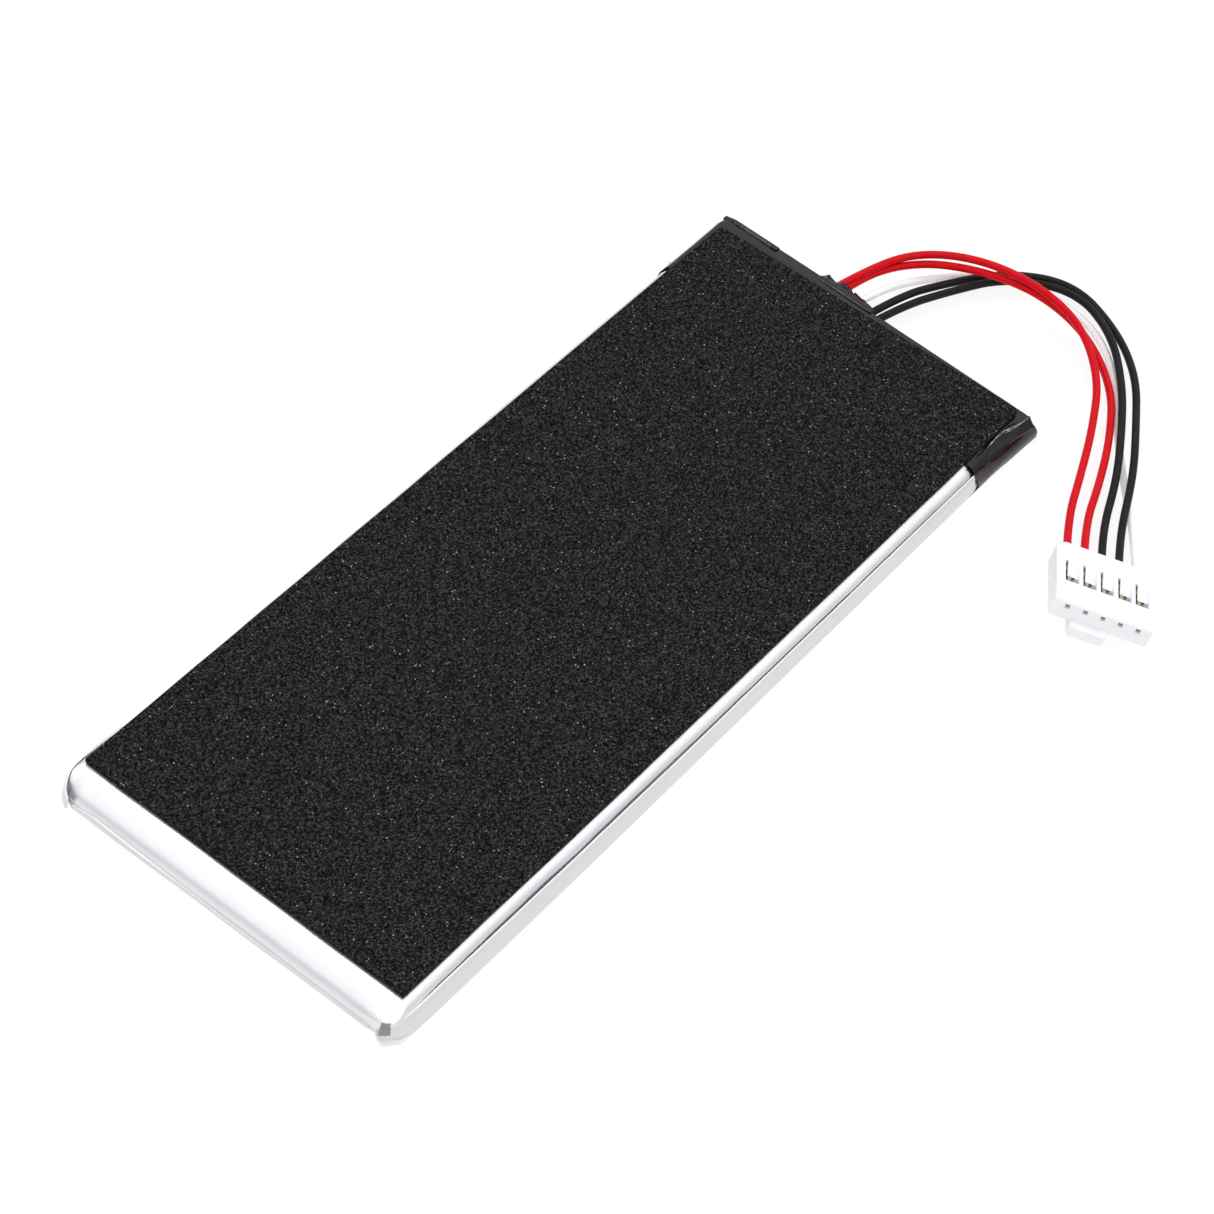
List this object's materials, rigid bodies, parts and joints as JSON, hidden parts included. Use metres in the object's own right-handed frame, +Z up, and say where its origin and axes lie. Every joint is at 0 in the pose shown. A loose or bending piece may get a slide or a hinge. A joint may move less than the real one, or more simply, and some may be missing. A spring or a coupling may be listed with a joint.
{
  "type": "lipo battery pack",
  "caption": "Flat rectangular pouch cell with a sponge pad on its face, a black taped end, and loose wires to a crimp connector.",
  "frame": {"origin": "centre of the pack's footprint, at the level of its underside; the wires and connector are left out of the footprint", "axes": "+X along the pack towards the wire end, +Y across it to the left seen from above with the wires ahead, +Z up out of the sponge pad"},
  "size_m": [0.1329, 0.0707, 0.0061],
  "materials": {
    "pouch_laminate": "satin silver laminate, nylon faced",
    "graphite": "matte graphite coating on foil",
    "cathode_coating": "matte oxide coating on aluminium foil",
    "separator_film": "matte white film",
    "stack_tape": "green polypropylene tape",
    "aluminium_foil": "bright foil",
    "copper_foil": "bare copper foil",
    "nickel": "satin nickel strip",
    "tab_film": "translucent polypropylene film",
    "insulating_paper": "barley paper",
    "circuit_board": "green solder mask",
    "chip_body": "matte black moulding",
    "ceramic_chip": "tan ceramic",
    "solder": "bright solder",
    "tinned_copper": "tinned strands",
    "black_tape": "glossy black film tape",
    "adhesive": "clear transfer adhesive",
    "black_sponge": "matte open-grain black sponge",
    "white_nylon": "semi-gloss natural white nylon",
    "contact_brass": "gold-toned tin brass",
    "red_insulation": "glossy red insulation",
    "black_insulation": "semi-gloss black insulation",
    "white_insulation": "glossy white insulation"
  },
  "bodies": {
    "root": {"pouch_cup": "pouch_laminate", "pouch_cover": "pouch_laminate", "anode_sheets": "graphite", "cathode_sheets": "cathode_coating", "separator_sheets": "separator_film", "stack_tape": "stack_tape", "foil_bundle_positive": "aluminium_foil", "foil_bundle_negative": "copper_foil", "tab_positive": "aluminium_foil", "tab_negative": "nickel", "tab_film_positive": "tab_film", "tab_film_negative": "tab_film", "board_insulator": "insulating_paper", "nickel_pad_positive": "nickel", "nickel_pad_negative": "nickel", "protection_board": "circuit_board", "mosfet_chip": "chip_body", "protection_chip": "chip_body", "chip_resistors": "chip_body", "chip_capacitors": "ceramic_chip", "thermistor_chip": "ceramic_chip", "solder_joints": "solder", "conductor_ends": "tinned_copper", "tape_wrap": "black_tape", "tape_corner_patch": "black_tape", "wire_exit_tape": "black_tape", "adhesive_film": "adhesive", "foam_pad": "black_sponge", "connector_housing": "white_nylon", "crimp_contacts": "contact_brass", "wire_red_1": "red_insulation", "wire_red_2": "red_insulation", "wire_black_1": "black_insulation", "wire_black_2": "black_insulation", "wire_white": "white_insulation"}
  },
  "joints": []
}
